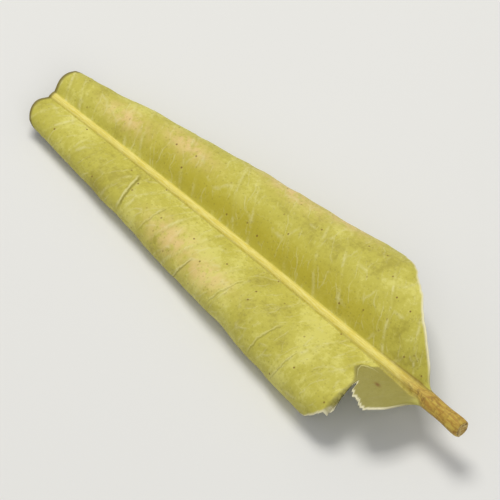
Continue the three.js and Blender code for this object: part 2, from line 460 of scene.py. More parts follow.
@dataclass
class DriedLeaf:
    """The whole leaf: blade, midrib and stalk stub in one closed mesh."""

    surface: LeafSurface = field(default_factory=LeafSurface)
    veins: VeinPattern = field(default_factory=VeinPattern)
    bleach_and_highlight_patches: tuple[OvalPatch, ...] = BLEACH_AND_HIGHLIGHT_PATCHES
    stations: int = 350
    blade_columns: int = 58
    stub_length: float = 4.8
    rest_roll: float = -3.7
    rest_pitch: float = 0.9
    margin_thickness: float = 0.2

    def station_list(self) -> np.ndarray:
        """Stations from the stalk to the apex, closer at both ends, through each tear corner.

        Returns:
            Stations in rising order.
        """
        t = np.linspace(0.0, 1.0, self.stations)
        q = 0.65 * t + 0.35 * (0.5 - 0.5 * np.cos(math.pi * t))
        q = q[q > 0.0015]
        corners = np.array(self.surface.tear.stations)
        clear = np.min(np.abs(q[:, None] - corners[None, :]), axis=1) > 0.0007
        return np.sort(np.concatenate([q[clear], corners]))

    def midrib(self, q: np.ndarray) -> tuple[np.ndarray, np.ndarray]:
        """Midrib half-breadth and height proud of the blade, swelling towards the stalk.

        Args:
            q: Stations.

        Returns:
            Half-breadths and heights in millimetres.
        """
        uneven = 1.0 + 0.05 * np.sin(61.0 * q) + 0.04 * np.sin(143.0 * q + 1.0)
        breadth = 0.4 + 0.12 * (1.0 - q) + 0.43 * np.exp(-q / 0.09)
        height = 0.22 + 0.15 * (1.0 - q) + 0.45 * np.exp(-q / 0.1)
        return breadth, height * uneven

    def columns(self, q: np.ndarray) -> tuple[np.ndarray, np.ndarray]:
        """Signed distances of each ring's columns, and their share of the half-width.

        Each half has nine columns across the midrib, spaced by a sine, and then the blade's
        own, spaced three parts evenly and two parts by a sine, closer at the margin.

        Args:
            q: Stations.

        Returns:
            Distances and shares, one row for each station.
        """
        breadth, _ = self.midrib(q)
        t = np.arange(1, self.blade_columns + 1) / self.blade_columns
        outer = 0.6 * t + 0.4 * np.sin(0.5 * math.pi * t)
        outer[-2] = 0.5 * (outer[-3] + 1.0) + 0.002
        inner = np.sin(0.5 * math.pi * np.arange(1, 9) / 8.0)
        sides = []
        for half in (self.surface.rolled, self.surface.high):
            width = self.surface.half_width(half, q)
            foot = np.minimum(1.25 * breadth, 0.8 * width)
            on_rib = foot[:, None] * inner[None, :]
            on_blade = foot[:, None] + (width - foot)[:, None] * outer[None, :]
            a = np.concatenate([on_rib, on_blade], axis=1)
            sides.append((half.sign * a, a / width[:, None]))
        zero = np.zeros((len(q), 1))
        u = np.concatenate([sides[0][0][:, ::-1], zero, sides[1][0]], axis=1)
        share = np.concatenate([sides[0][1][:, ::-1], zero, sides[1][1]], axis=1)
        return u, share

    def true_station(self, q: np.ndarray, u: np.ndarray, share: np.ndarray) -> np.ndarray:
        """Station of each grid point after the apex is rounded and the torn lip leans over.

        Args:
            q: Grid stations.
            u: Signed distances from the midrib in millimetres.
            share: Shares of the half-width.

        Returns:
            Stations, one for each grid point.
        """
        result = np.empty_like(u)
        grid = np.broadcast_to(q[:, None], u.shape)
        for half, side in ((self.surface.rolled, u < 0.0), (self.surface.high, u >= 0.0)):
            back = self.surface.apex_offset(half, grid, share) / self.surface.length
            lean = self.surface.lip_lean(half, grid, np.abs(u))
            result = np.where(side, grid - back - lean, result)
        return result

    def relief(
        self, face: Face, q: np.ndarray, x: np.ndarray, u: np.ndarray, share: np.ndarray
    ) -> np.ndarray:
        """Distance of one face's skin from the middle surface.

        It is half the thickness, thinned and rounded off at the margin, plus the midrib's
        half ellipse, plus the side veins, which stand out underneath and sink in above.

        Args:
            face: Which face of the blade.
            q: Grid stations.
            x: Distances along the midrib in millimetres.
            u: Signed distances from the midrib in millimetres.
            share: Shares of the half-width.

        Returns:
            Offsets along the normal in millimetres.
        """
        breadth, height = self.midrib(q)
        ridge = np.sqrt(np.clip(1.0 - (u / breadth[:, None]) ** 2, 0.0, 1.0))
        thinning = (self.surface.thickness - self.margin_thickness) * smooth((share - 0.8) / 0.2)
        body = (self.surface.thickness - thinning) / 2.0
        past = ((share - 0.975) / 0.028).clip(0.0, 1.0)
        body = body * np.sqrt(np.clip(1.0 - past**2, 0.0, 1.0))
        keep = 1.0 - smooth((share - 0.9) / 0.1)
        vein = self.veins.lateral(x, u) * self.veins.shape.proud * keep
        if face is Face.UNDERSIDE:
            return body + height[:, None] * ridge + vein * (1.0 - ridge)
        return body + 0.35 * (height - 0.22)[:, None] * ridge - 0.5 * vein * (1.0 - ridge)

    def skin(
        self, face: Face, q: np.ndarray, u: np.ndarray, share: np.ndarray
    ) -> tuple[np.ndarray, np.ndarray]:
        """Points of one face of the blade and their place on the flattened leaf.

        Args:
            face: Which face of the blade.
            q: Stations of the rings.
            u: Signed distances of the columns.
            share: Shares of the half-width.

        Returns:
            Points, and pairs of distance along and across the flattened leaf.
        """
        station = self.true_station(q, u, share)
        x = station * self.surface.length
        offset = self.relief(face, q, x, u, share)
        pucker = self.veins.pucker(x, u) * smooth(np.abs(u) / 2.0)
        normal = self.surface.normal(station, u)
        lift = (face.value * offset + pucker)[..., None]
        return self.surface.point(station, u) + normal * lift, np.stack([x, u], axis=-1)

    def stalk(
        self, face: Face, q: np.ndarray, u: np.ndarray, share: np.ndarray, radius: np.ndarray
    ) -> np.ndarray:
        """Points of the round stalk that the same columns turn into.

        A column at share s of the half-width sits at 86 s degrees from the top of the
        circle. Five and nine shallow ridges run along the stalk.

        Args:
            face: The top or the bottom half of the circle.
            q: Stations of the rings.
            u: Signed distances, for their signs.
            share: Shares of the half-width.
            radius: Radius of each ring in millimetres.

        Returns:
            Points in millimetres.
        """
        zero = np.zeros_like(q)
        centre = self.surface.point(q, zero)[:, None, :]
        normal = self.surface.normal(q, zero)[:, None, :]
        roll = math.radians(self.surface.valley_roll)
        side = np.array([0.0, math.cos(roll), math.sin(roll)])
        angle = math.radians(86.0) * np.sign(u) * share
        turn = angle if face is Face.UNDERSIDE else math.pi - angle
        ridges = 0.03 * np.sin(5.0 * turn + 0.7) + 0.022 * np.sin(9.0 * turn + 25.0 * q[:, None])
        reach = radius[:, None] * (1.0 + ridges)
        across = (reach * np.sin(angle))[..., None] * side
        return centre + across + normal * (face.value * reach * np.cos(angle))[..., None]

    def rings(self) -> tuple[np.ndarray, np.ndarray, np.ndarray, np.ndarray]:
        """Every ring of the leaf from the broken stalk end to the apex.

        Returns:
            Underside points, upper points, flattened places of the underside, and shares.
        """
        blade_q = self.station_list()
        out = np.array([4.8, 4.78, 4.7, 4.5, 4.2, 3.8, 3.3, 2.8, 2.3, 1.8, 1.3, 0.8, 0.4, 0.0])
        swell = np.array(
            [0.84, 0.93, 0.99, 1.03, 1.05, 1.04, 1.01, 0.97, 0.95, 0.95, 0.96, 0.98, 0.99, 1.0]
        )
        stub_q = -out / self.surface.length
        q = np.concatenate([stub_q, blade_q])
        radius = self.surface.stub_radius * np.concatenate([swell, np.ones(len(blade_q))])
        held = np.maximum(q, 0.0)
        u, share = self.columns(held)
        round_off = np.where(q > 0.0, smooth((0.035 - q) / 0.035), 1.0)[:, None, None]
        faces = []
        for face in Face:
            skin, flat = self.skin(face, held, u, share)
            stalk = self.stalk(face, q, u, share, radius)
            faces.append(skin + (stalk - skin) * round_off)
        along = flat[..., 0] + np.minimum(q, 0.0)[:, None] * self.surface.length
        flat = np.stack([along, flat[..., 1]], axis=-1)
        return faces[0], faces[1], flat, share

    def settle(self, points: np.ndarray) -> np.ndarray:
        """Turn the leaf to its resting attitude and centre it over the CAD node's box.

        The leaf turns about X by the roll, then about Y by the pitch. Its box is then
        centred over the node's box, and its lowest point put on that box's floor.

        Args:
            points: Points in millimetres.

        Returns:
            Points in metres in the shared frame.
        """
        roll, pitch = math.radians(self.rest_roll), math.radians(self.rest_pitch)
        x, y, z = points.T
        y, z = y * math.cos(roll) - z * math.sin(roll), y * math.sin(roll) + z * math.cos(roll)
        x, z = x * math.cos(pitch) + z * math.sin(pitch), z * math.cos(pitch) - x * math.sin(pitch)
        turned = np.stack([x, y, z], axis=-1) * MM
        low, high = (np.array(corner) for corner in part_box("leaf"))
        shift = 0.5 * (low + high) - 0.5 * (turned.min(axis=0) + turned.max(axis=0))
        shift[2] = low[2] - turned[:, 2].min()
        return turned + shift

    def faces(self, rings: int, under: int, upper: int) -> np.ndarray:
        """Quads between neighbouring rings, wound so that they face outwards.

        Args:
            rings: Number of rings.
            under: Points of a ring on the underside.
            upper: Points of a ring on the upper face.

        Returns:
            Four point numbers for each quad.
        """
        size = under + upper
        i, j = np.meshgrid(np.arange(rings - 1), np.arange(size), indexing="ij")
        a = i * size + j
        b = i * size + (j + 1) % size
        return np.stack([a, b, b + size, a + size], axis=-1).reshape(-1, 4)

    def stub_end(self, ring: np.ndarray, start: int) -> tuple[np.ndarray, np.ndarray]:
        """The broken stalk end: rings that shrink to a point over a rough, hollowed face.

        A ring at scale s moves 0.22 (1 - s squared) mm into the stalk, and two sines round
        the ring leave torn fibres up to 0.05 mm high.

        Args:
            ring: Points of the first ring of the leaf.
            start: Number of points already in the mesh.

        Returns:
            New points, and triangles and quads padded to four numbers.
        """
        size = len(ring)
        centre = ring.mean(axis=0)
        scales = np.array([0.9, 0.72, 0.5, 0.28, 0.1])
        turn = np.arange(size) / size * 2.0 * math.pi
        rough = 0.03 * np.sin(11.0 * turn) + 0.02 * np.sin(17.0 * turn + 2.0)
        grown = centre + (ring - centre)[None, :, :] * scales[:, None, None]
        hollow = 0.22 * (1.0 - scales**2)[:, None] + rough[None, :] * scales[:, None]
        grown[..., 0] -= hollow
        points = np.concatenate([grown.reshape(-1, 3), (centre - [0.24, 0.0, 0.0])[None, :]])
        j = np.arange(size)
        k = (j + 1) % size
        first = np.stack([k, j, start + j, start + k], axis=-1)
        quads = [first]
        for step in range(len(scales) - 1):
            base = start + step * size
            quads.append(np.stack([base + k, base + j, base + size + j, base + size + k], axis=-1))
        last = start + (len(scales) - 1) * size
        tip = np.full(size, start + len(scales) * size)
        quads.append(np.stack([last + k, last + j, tip, tip], axis=-1))
        return points, np.concatenate(quads)

    def apex_end(self, last: int, under: int, upper: int) -> np.ndarray:
        """Close the apex: each step of the upper edge meets two steps of the underside edge.

        Args:
            last: Number of the last ring's first point.
            under: Points of a ring on the underside.
            upper: Points of a ring on the upper face.

        Returns:
            Triangles padded to four numbers.
        """
        m = np.arange(upper - 1)
        low = last + 2 * m
        top = last + under + upper - 1 - m
        first = np.stack([low, low + 1, top, top], axis=-1)
        second = np.stack([low + 1, top - 1, top, top], axis=-1)
        third = np.stack([low + 1, low + 2, top - 1, top - 1], axis=-1)
        return np.concatenate([first, second, third])

    def marks(self, flat: np.ndarray, share: np.ndarray) -> dict[str, np.ndarray]:
        """Masks that the materials read, worked out on the flattened leaf.

        On the wood: rib is the midrib, stalk the stub, ochre the woody tone near the stub,
        and seam a painted shadow line, in brown, where the blade meets the midrib near
        the stub. On the blade: vein is the side veins, groove the painted shade line 0.3 mm
        beside each of them, crest the patches of bleached tone and painted highlight, and
        valley the strip on the high half beside the midrib, olive in tone and darkened as
        painted shade. At the edges: rim is a painted highlight along the thin margin,
        end_line a painted shade line along the apex edge, flap the flap by the split, duller
        in tone and darkened as painted shade, and spot the dark spot on it.

        Args:
            flat: Distances along and across, in millimetres.
            share: Shares of the half-width.

        Returns:
            Values from 0 to 1 for each mask's name.
        """
        x, u = flat[..., 0], flat[..., 1]
        q = x / self.surface.length
        a = np.abs(u)
        breadth, _ = self.midrib(np.maximum(q, 0.0))
        tear = self.surface.tear
        high = (u > 0.0).astype(float)
        rolled = 1.0 - high
        valley_run = smooth((q - 0.08) / 0.15) * (1.0 - smooth((q - 0.62) / 0.3))
        flap_end = tear.flap_end + 0.026 * np.exp(-(((a - 2.6) / 1.1) ** 2))
        flap_run = smooth((q - 0.004) / 0.02) * (1.0 - smooth((q - flap_end) / 0.006))
        width_high = self.surface.half_width(self.surface.high, q)
        width_rolled = self.surface.half_width(self.surface.rolled, q)
        width = np.where(u > 0.0, width_high, width_rolled)
        to_margin = (1.0 - share) * width
        seam_run = smooth((q + 0.02) / 0.02) * (1.0 - smooth((q - 0.03) / 0.16))
        seam_run = seam_run * (0.35 + 0.65 * high)
        return {
            "rib": 1.0 - smooth((a / breadth - 0.75) / 0.45),
            "stalk": smooth((0.012 - q) / 0.03),
            "ochre": smooth((0.12 - q) / 0.14),
            "vein": self.veins.lateral(x, u),
            # rim: painted highlight along the margin's edge
            "rim": (1.0 - smooth(to_margin / 0.42)) * smooth((q - 0.01) / 0.03),
            # flap: duller tone plus painted shade where the flap hangs down
            "flap": rolled * flap_run * smooth((a / breadth - 0.95) / 0.4),
            # crest: bleached tone plus painted highlight on the crests
            "crest": np.max([patch.mask(x, u) for patch in self.bleach_and_highlight_patches], axis=0),
            "spot": FLAP_SPOT.mask(x, u),
            # valley: olive tone plus painted shade on the slope beside the midrib
            "valley": high * valley_run * np.exp(-(((a - 2.0) / 2.1) ** 2)),
            "groove": np.maximum(self.veins.lateral(x + 0.3, u) - self.veins.lateral(x, u), 0.0),
            # end_line: painted shade along the apex edge
            "end_line": 1.0 - smooth((x[-1:] - x - 0.16) / 0.3),
            # seam: painted shadow line, in brown, where the blade meets the midrib
            "seam": seam_run * np.exp(-(((a - 1.12 * breadth) / 0.13) ** 2)),
        }

    def build(self) -> bpy.types.Object:
        """Make the leaf's mesh with its flattened map and its masks.

        Returns:
            The leaf's object, at the origin and unturned.
        """
        under, upper, flat, share = self.rings()
        marks = self.marks(flat, share)
        upper = upper[:, ::2][:, ::-1]
        n_under, n_upper = under.shape[1], upper.shape[1]
        ring_points = np.concatenate([under, upper], axis=1)
        rings, size = ring_points.shape[:2]
        end_points, end_faces = self.stub_end(ring_points[0], rings * size)
        points = self.settle(np.concatenate([ring_points.reshape(-1, 3), end_points]))
        quads = self.faces(rings, n_under, n_upper)
        apex = self.apex_end((rings - 1) * size, n_under, n_upper)
        slots = self.slots(rings, n_under, n_upper, len(end_faces), len(apex))
        mesh = make_mesh("dried_leaf", points, np.concatenate([quads, end_faces, apex]), slots)
        both = np.concatenate([flat, flat[:, ::2][:, ::-1]], axis=1).reshape(-1, 2)
        tail = np.broadcast_to(both[0] * [1.0, 0.0], (len(end_points), 2))
        set_flat_map(mesh, np.concatenate([both, tail]))
        for name, values in marks.items():
            whole = np.concatenate([values, values[:, ::2][:, ::-1]], axis=1).reshape(-1)
            end = np.full(len(end_points), 1.0 if name in ("stalk", "ochre") else 0.0)
            layer = mesh.attributes.new(name, "FLOAT", "POINT")
            layer.data.foreach_set("value", np.concatenate([whole, end]).astype(np.float32))
        leaf = bpy.data.objects.new("dried_leaf", mesh)
        bpy.context.scene.collection.objects.link(leaf)
        return leaf

    def slots(self, rings: int, under: int, upper: int, end: int, apex: int) -> np.ndarray:
        """Material number of each face: 0 underside and rims, 1 upper face, 2 broken end.

        Args:
            rings: Number of rings.
            under: Points of a ring on the underside.
            upper: Points of a ring on the upper face.
            end: Number of faces of the broken stalk end.
            apex: Number of faces that close the apex.

        Returns:
            One material number for each face.
        """
        side = np.zeros(under + upper, dtype=np.int32)
        side[under : under + upper - 1] = 1
        blade = np.tile(side, rings - 1)
        return np.concatenate([blade, np.full(end, 2), np.zeros(apex)]).astype(np.int32)


def make_mesh(
    name: str, points: np.ndarray, faces: np.ndarray, slots: np.ndarray
) -> bpy.types.Mesh:
    """Put whole arrays of points and faces into a new smooth-shaded mesh.

    Args:
        name: Name of the mesh.
        points: Points in metres.
        faces: Four point numbers a face; a triangle repeats its last one.
        slots: Material number of each face.

    Returns:
        The mesh.
    """
    is_quad = faces[:, 2] != faces[:, 3]
    counts = np.where(is_quad, 4, 3).astype(np.int32)
    keep = np.ones(faces.shape, dtype=bool)
    keep[:, 3] = is_quad
    mesh = bpy.data.meshes.new(name)
    mesh.vertices.add(len(points))
    mesh.vertices.foreach_set("co", points.astype(np.float32).ravel())
    mesh.loops.add(int(counts.sum()))
    mesh.loops.foreach_set("vertex_index", faces[keep].astype(np.int32))
    mesh.polygons.add(len(faces))
    starts = np.concatenate([[0], np.cumsum(counts)[:-1]]).astype(np.int32)
    mesh.polygons.foreach_set("loop_start", starts)
    mesh.polygons.foreach_set("material_index", slots)
    mesh.polygons.foreach_set("use_smooth", np.ones(len(faces), dtype=bool))
    mesh.update(calc_edges=True)
    mesh.validate()
    return mesh


def set_flat_map(mesh: bpy.types.Mesh, flat: np.ndarray) -> None:
    """Store the flattened leaf as a map: millimetres over FLAT_SPAN, centred on a half.

    Args:
        mesh: The mesh.
        flat: Distances along and across for each point, in millimetres.
    """
    corner = np.empty(len(mesh.loops), dtype=np.int32)
    mesh.loops.foreach_get("vertex_index", corner)
    layer = mesh.uv_layers.new(name="Flattened")
    place = flat / FLAT_SPAN + np.array(FLAT_START)
    layer.uv.foreach_set("vector", place[corner].astype(np.float32).ravel())


class NodeSketch:
    """A short way to write a node tree: each call adds a node, sets it and links it."""

    def __init__(self, tree: bpy.types.NodeTree) -> None:
        """Start from an empty tree.

        Args:
            tree: The node tree to fill.
        """
        self.tree = tree
        self.column = 0
        tree.nodes.clear()

    def add(
        self, kind: str, settings: dict | None = None, inputs: dict | None = None
    ) -> bpy.types.Node:
        """Add one node.

        Args:
            kind: Blender's name for the node type.
            settings: Attributes of the node.
            inputs: Socket name or number to a value, or to an output socket to link.

        Returns:
            The node.
        """
        node = self.tree.nodes.new(kind)
        self.column += 1
        node.location = (180 * self.column, -60 * (self.column % 7))
        for key, value in (settings or {}).items():
            setattr(node, key, value)
        for key, value in (inputs or {}).items():
            socket = node.inputs[key]
            if isinstance(value, bpy.types.NodeSocket):
                self.tree.links.new(value, socket)
            else:
                socket.default_value = value
        return node

    def math(self, operation: str, first: object, second: object = 0.0) -> bpy.types.NodeSocket:
        """Add a Math node and give its result.

        Args:
            operation: Blender's name for the operation.
            first: First value or socket.
            second: Second value or socket.

        Returns:
            The result.
        """
        node = self.add("ShaderNodeMath", {"operation": operation}, {0: first, 1: second})
        return node.outputs[0]

    def vector(self, operation: str, inputs: dict) -> bpy.types.Node:
        """Add a Vector Math node.

        Args:
            operation: Blender's name for the operation.
            inputs: Socket name or number to a value, or to an output socket to link.

        Returns:
            The node.
        """
        return self.add("ShaderNodeVectorMath", {"operation": operation}, inputs)

    def blend(
        self, amount: object, first: object, second: object, mode: str = "MIX"
    ) -> bpy.types.NodeSocket:
        """Mix two colours by an amount and give the result.

        Args:
            amount: Share of the second colour, a value or a socket.
            first: First colour or socket.
            second: Second colour or socket.
            mode: Blender's name for the way of mixing.

        Returns:
            The mixed colour.
        """
        node = self.add("ShaderNodeMix", {"data_type": "RGBA", "blend_type": mode})
        for key, value in ((0, amount), (6, first), (7, second)):
            if isinstance(value, bpy.types.NodeSocket):
                self.tree.links.new(value, node.inputs[key])
            else:
                node.inputs[key].default_value = value
        return node.outputs[2]

    def ramp(self, value: object, low: float, high: float) -> bpy.types.NodeSocket:
        """Map a value smoothly from 0 at `low` to 1 at `high`.

        Args:
            value: Value or socket to map.
            low: Where the result leaves 0.
            high: Where the result reaches 1.

        Returns:
            The mapped value.
        """
        settings = {"interpolation_type": "SMOOTHSTEP"}
        inputs = {"Value": value, "From Min": low, "From Max": high}
        return self.add("ShaderNodeMapRange", settings, inputs).outputs["Result"]

    def noise(
        self, vector: object, scale: float, detail: float = 3.0, rough: float = 0.55
    ) -> bpy.types.NodeSocket:
        """Add a noise texture and give its value.

        Args:
            vector: Place socket.
            scale: Grains in one unit of the place.
            detail: Number of finer layers.
            rough: Strength of the finer layers.

        Returns:
            The noise value, mostly from 0.3 to 0.7.
        """
        inputs = {"Vector": vector, "Scale": scale, "Detail": detail, "Roughness": rough}
        return self.add("ShaderNodeTexNoise", None, inputs).outputs["Fac"]

    def mark(self, name: str) -> bpy.types.NodeSocket:
        """Read one of the mesh's masks.

        Args:
            name: Name of the mask.

        Returns:
            The mask from 0 to 1.
        """
        return self.add("ShaderNodeAttribute", {"attribute_name": name}).outputs["Fac"]


class EffectGroup:
    """A shader node group with named inputs and outputs."""

    def __init__(
        self, name: str, inputs: dict[str, tuple[str, object]], outputs: dict[str, str]
    ) -> None:
        """Make the group's tree and its sockets.

        Args:
            name: Name of the group.
            inputs: Socket name to its kind and starting value.
            outputs: Socket name to its kind.
        """
        self.tree = bpy.data.node_groups.new(name, "ShaderNodeTree")
        for socket, (kind, value) in inputs.items():
            made = self.tree.interface.new_socket(name=socket, in_out="INPUT", socket_type=kind)
            if value is not None:
                made.default_value = value
        for socket, kind in outputs.items():
            self.tree.interface.new_socket(name=socket, in_out="OUTPUT", socket_type=kind)
        self.sketch = NodeSketch(self.tree)
        self.source = self.sketch.add("NodeGroupInput")

    def input(self, name: str) -> bpy.types.NodeSocket:
        """Give one of the group's inputs, as a socket to link from.

        Args:
            name: Name of the input.

        Returns:
            The socket.
        """
        return self.source.outputs[name]

    def finish(self, results: dict[str, bpy.types.NodeSocket]) -> bpy.types.NodeTree:
        """Link the results to the group's outputs and give its tree.

        Args:
            results: Output name to the socket that feeds it.

        Returns:
            The group's tree.
        """
        self.sketch.add("NodeGroupOutput", None, dict(results))
        return self.tree


def net_veins_group() -> bpy.types.NodeTree:
    """Net veins: borders of warped cells drawn out along the side veins, and broken up.

    Across the cells runs x minus Slant times the distance from the midrib; along them runs
    that distance times Stretch.

    Returns:
        A group that turns a place in millimetres into a Mask from 0 to 1.
    """
    group = EffectGroup(
        "net_veins",
        {
            "Place": ("NodeSocketVector", None),
            "Cells per mm": ("NodeSocketFloat", 0.8),
            "Line": ("NodeSocketFloat", 0.07),
            "Cover": ("NodeSocketFloat", 0.5),
            "Slant": ("NodeSocketFloat", 0.45),
            "Stretch": ("NodeSocketFloat", 0.4),
        },
        {"Mask": "NodeSocketFloat"},
    )
    s = group.sketch
    slow = {"Vector": group.input("Place"), "Scale": 0.7, "Detail": 1.0}
    warp = s.add("ShaderNodeTexNoise", None, slow).outputs["Color"]
    shift = s.vector("SCALE", {0: warp, "Scale": 0.8}).outputs[0]
    bent = s.vector("ADD", {0: group.input("Place"), 1: shift}).outputs[0]
    parts = s.add("ShaderNodeSeparateXYZ", None, {"Vector": bent})
    away = s.math("ABSOLUTE", parts.outputs["Y"])
    across = s.math("SUBTRACT", parts.outputs["X"], s.math("MULTIPLY", away, group.input("Slant")))
    along = s.math("MULTIPLY", parts.outputs["Y"], group.input("Stretch"))
    drawn = s.add("ShaderNodeCombineXYZ", None, {"X": across, "Y": along})
    cells = s.add(
        "ShaderNodeTexVoronoi",
        {"feature": "DISTANCE_TO_EDGE", "voronoi_dimensions": "2D"},
        {"Vector": drawn.outputs[0], "Scale": group.input("Cells per mm")},
    )
    line = s.math("SUBTRACT", 1.0, s.math("DIVIDE", cells.outputs["Distance"], group.input("Line")))
    line = s.math("MAXIMUM", line, 0.0)
    patch = s.noise(group.input("Place"), 0.6, 3.0, 0.6)
    gate = s.math("SUBTRACT", patch, s.math("SUBTRACT", 1.0, group.input("Cover")))
    gate = s.ramp(gate, -0.06, 0.14)
    return group.finish({"Mask": s.math("MULTIPLY", line, gate)})


def oil_glands_group() -> bpy.types.NodeTree:
    """Oil glands: small round dots at jittered places, some of them faint.

    Returns:
        A group that turns a place in millimetres into a Mask from 0 to 1.
    """
    group = EffectGroup(
        "oil_glands",
        {
            "Place": ("NodeSocketVector", None),
            "Dots per mm": ("NodeSocketFloat", 1.7),
            "Radius": ("NodeSocketFloat", 0.2),
        },
        {"Mask": "NodeSocketFloat"},
    )
    s = group.sketch
    dots = s.add(
        "ShaderNodeTexVoronoi",
        {"feature": "F1", "voronoi_dimensions": "2D"},
        {"Vector": group.input("Place"), "Scale": group.input("Dots per mm")},
    )
    away = s.math("DIVIDE", dots.outputs["Distance"], group.input("Radius"))
    spot = s.math("SUBTRACT", 1.0, away)
    spot = s.math("MAXIMUM", spot, 0.0)
    pick = s.add("ShaderNodeSeparateColor", None, {"Color": dots.outputs["Color"]}).outputs["Red"]
    chosen = s.math("MULTIPLY", s.ramp(pick, 0.35, 0.95), s.ramp(spot, 0.0, 0.6))
    return group.finish({"Mask": chosen})


def dry_mottle_group() -> bpy.types.NodeTree:
    """Dry mottling: three sizes of noise that move a colour between a dark and a pale one.

    Returns:
        A group that turns a place and three colours into a Colour, and gives its Blotch.
    """
    group = EffectGroup(
        "dry_mottle",
        {
            "Place": ("NodeSocketVector", None),
            "Dark": ("NodeSocketColor", (0.2, 0.2, 0.05, 1.0)),
            "Middle": ("NodeSocketColor", (0.4, 0.4, 0.1, 1.0)),
            "Pale": ("NodeSocketColor", (0.6, 0.6, 0.2, 1.0)),
        },
        {"Colour": "NodeSocketColor", "Blotch": "NodeSocketFloat"},
    )
    s = group.sketch
    broad = s.noise(group.input("Place"), 0.11, 2.0, 0.5)
    middle = s.noise(group.input("Place"), 0.42, 3.0, 0.6)
    fine = s.noise(group.input("Place"), 1.9, 4.0, 0.7)
    mix = s.math("ADD", s.math("MULTIPLY", broad, 0.38), s.math("MULTIPLY", middle, 0.34))
    mix = s.math("ADD", mix, s.math("MULTIPLY", fine, 0.28))
    dark = s.blend(s.ramp(mix, 0.38, 0.5), group.input("Dark"), group.input("Middle"))
    pale = s.blend(s.ramp(mix, 0.5, 0.6), dark, group.input("Pale"))
    return group.finish({"Colour": pale, "Blotch": mix})


def dry_crease_group() -> bpy.types.NodeTree:
    """One dry crease: a shaded line and a lit line side by side, from Start to End.

    The offset is the cross product of the place and the crease's direction, plus a bow of
    4 t (1 - t); each line is one minus the offset over the breadth, squared.

    Returns:
        A group that turns a place in millimetres into Shade and Light from 0 to 1.
    """
    group = EffectGroup(
        "dry_crease",
        {
            "Place": ("NodeSocketVector", None),
            "Start": ("NodeSocketVector", None),
            "End": ("NodeSocketVector", None),
            "Bow": ("NodeSocketFloat", 0.3),
            "Breadth": ("NodeSocketFloat", 0.14),
        },
        {"Shade": "NodeSocketFloat", "Light": "NodeSocketFloat"},
    )
    s = group.sketch
    wander = s.math("SUBTRACT", s.noise(group.input("Place"), 1.3, 2.0), 0.5)
    wander = s.math("MULTIPLY", wander, 0.5)
    line = s.vector("SUBTRACT", {0: group.input("End"), 1: group.input("Start")}).outputs[0]
    from_start = s.vector("SUBTRACT", {0: group.input("Place"), 1: group.input("Start")})
    pair = {0: line, 1: from_start.outputs[0]}
    reach = s.vector("LENGTH", {0: line}).outputs["Value"]
    dot = s.vector("DOT_PRODUCT", pair).outputs["Value"]
    cross = s.vector("CROSS_PRODUCT", pair).outputs[0]
    side = s.add("ShaderNodeSeparateXYZ", None, {"Vector": cross}).outputs["Z"]
    t = s.math("DIVIDE", dot, s.math("MULTIPLY", reach, reach))
    arch = s.math("MULTIPLY", s.math("MULTIPLY", t, s.math("SUBTRACT", 1.0, t)), 4.0)
    bowed = s.math("MULTIPLY", arch, group.input("Bow"))
    offset = s.math("ADD", s.math("DIVIDE", side, reach), bowed)
    offset = s.math("ADD", offset, wander)
    ends = s.math("MULTIPLY", s.ramp(t, 0.0, 0.2), s.math("SUBTRACT", 1.0, s.ramp(t, 0.75, 1.0)))
    results = {}
    for name, shift in (("Shade", 0.0), ("Light", 1.5)):
        moved = s.math("DIVIDE", offset, group.input("Breadth"))
        moved = s.math("SUBTRACT", moved, shift)
        bell = s.math("MAXIMUM", s.math("SUBTRACT", 1.0, s.math("MULTIPLY", moved, moved)), 0.0)
        results[name] = s.math("MULTIPLY", bell, ends)
    return group.finish(results)


@dataclass(frozen=True)
class Crease:
    """One dry crease between two places on the flattened leaf, in millimetres."""

    start: tuple[float, float, float]
    end: tuple[float, float, float]
    bow: float
    breadth: float
    strength: float


CREASES = (
    Crease((41.2, -0.9, 0.0), (40.0, -6.0, 0.0), 0.35, 0.17, 0.95),
    Crease((28.9, -4.8, 0.0), (30.6, -8.4, 0.0), 0.2, 0.13, 0.7),
    Crease((23.0, -3.0, 0.0), (24.8, -8.0, 0.0), 0.2, 0.1, 0.4),
    Crease((16.0, -4.4, 0.0), (17.6, -9.6, 0.0), -0.2, 0.11, 0.5),
    Crease((12.6, -5.4, 0.0), (14.0, -10.4, 0.0), 0.2, 0.1, 0.4),
    Crease((35.6, -2.2, 0.0), (36.6, -6.4, 0.0), 0.2, 0.1, 0.35),
    Crease((6.2, -4.0, 0.0), (5.2, -1.3, 0.0), 1.9, 0.12, 0.7),
)


@dataclass(frozen=True)
class BladeFinish:
    """Colours and roughness of one face of the dried blade."""

    name: str
    dark: str
    middle: str
    pale: str
    vein: str
    net: str
    gland: str
    crest: str
    valley: str
    rim: str
    flap: str
    rib: str
    rib_pale: str
    stalk: str
    stalk_brown: str
    shade: str
    end_line: str
    roughness: float
    net_strength: float
    crest_strength: float
    bump: float


